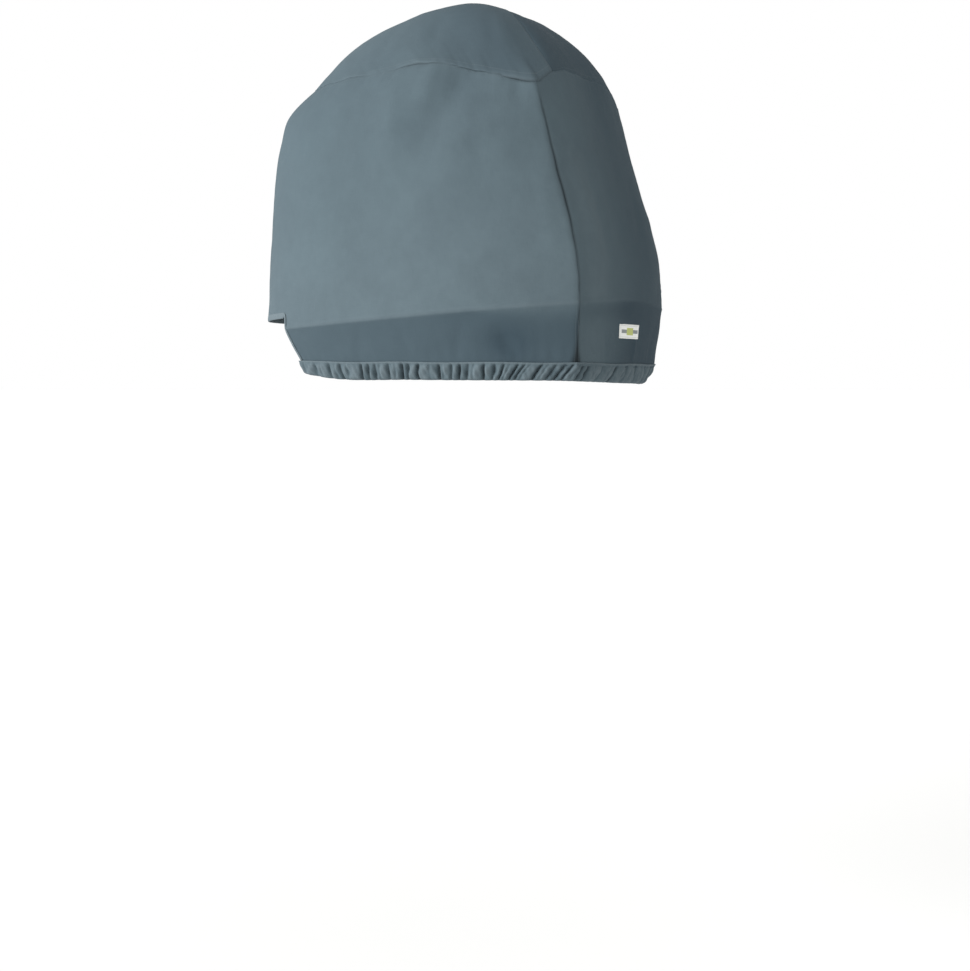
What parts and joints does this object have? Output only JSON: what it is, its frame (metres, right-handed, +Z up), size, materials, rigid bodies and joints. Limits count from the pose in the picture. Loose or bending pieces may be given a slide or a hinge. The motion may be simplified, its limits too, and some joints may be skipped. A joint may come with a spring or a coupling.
{
  "type": "outboard motor cover",
  "caption": "Fitted canvas cover for the head of an outboard motor: sewn panels, domed top, gathered elastic lower edge and a bound cut-out at the front.",
  "frame": {"origin": "the point under the crown, on the cover's middle plane, where the cover rests on the head of the motor", "axes": "+X to the stern, -X to the boat, -Y to port, +Y to starboard, +Z up as the cover sits"},
  "size_m": [0.7685, 0.582, 0.7506],
  "materials": {
    "canvas": "matt slate blue-grey polyester canvas, plain woven",
    "canvas_trim": "the same canvas, gathered over elastic and as binding",
    "label": "white woven label, plain stripes"
  },
  "bodies": {
    "root": {"side_panel_port": "canvas", "side_panel_starboard": "canvas", "back_panel": "canvas", "back_yoke": "canvas", "top_panel": "canvas", "hem_casing": "canvas_trim", "notch_binding": "canvas_trim", "back_label": "label"}
  },
  "joints": []
}
